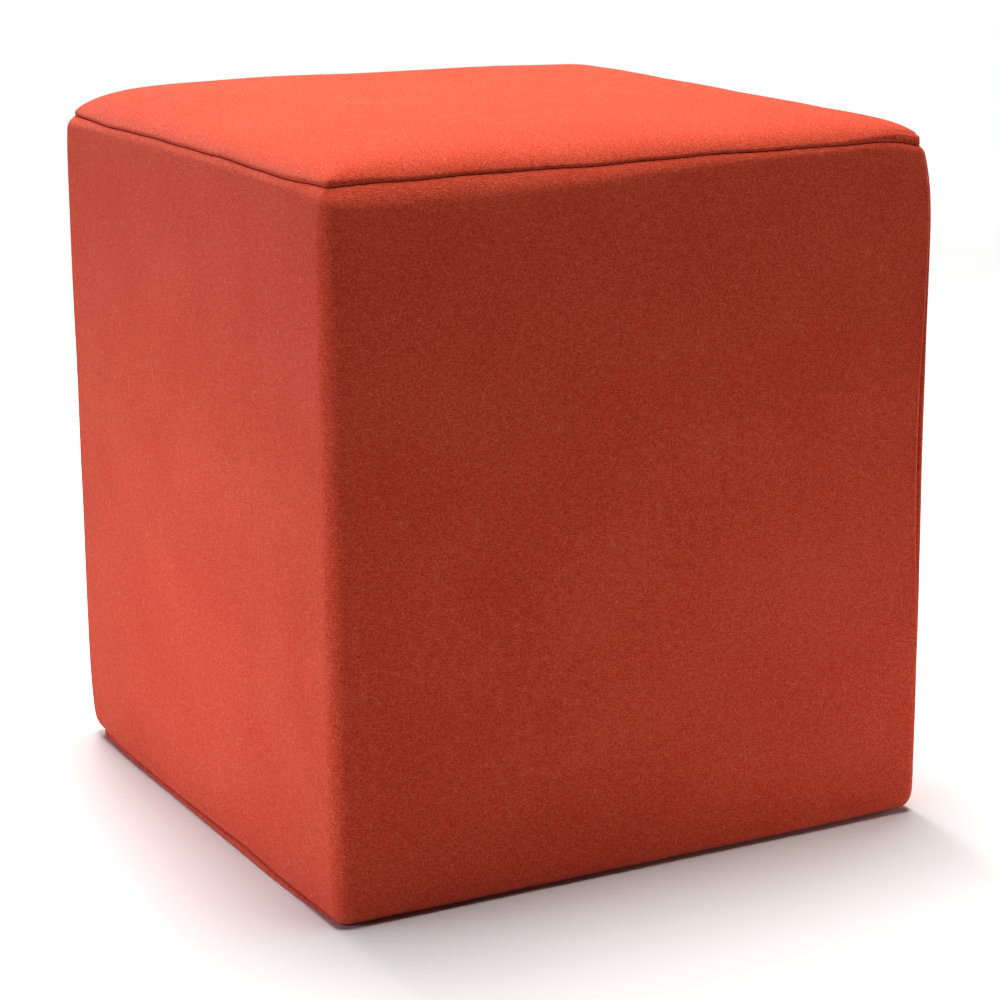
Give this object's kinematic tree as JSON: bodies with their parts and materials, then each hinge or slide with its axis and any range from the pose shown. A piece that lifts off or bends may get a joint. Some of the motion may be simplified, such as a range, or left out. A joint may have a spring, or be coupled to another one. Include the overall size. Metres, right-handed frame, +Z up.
{
  "type": "cube pouf stool",
  "caption": "Cube-shaped upholstered pouf stool in felted wool, with a softly crowned seat, plain sewn seams and a flat base to rest on the floor.",
  "frame": {"origin": "on the floor, under the middle of the stool's box", "axes": "+Z up; -Y out of the front face, +X out of the right face; the boxing's upright seam is at the front right corner"},
  "size_m": [0.4252, 0.4252, 0.465],
  "materials": {
    "wool_felt": "matt coral red wool felt with a soft nap and stray pale fibres"
  },
  "bodies": {
    "root": {"base_panel": "wool_felt", "side_boxing": "wool_felt", "top_panel": "wool_felt"}
  },
  "joints": []
}
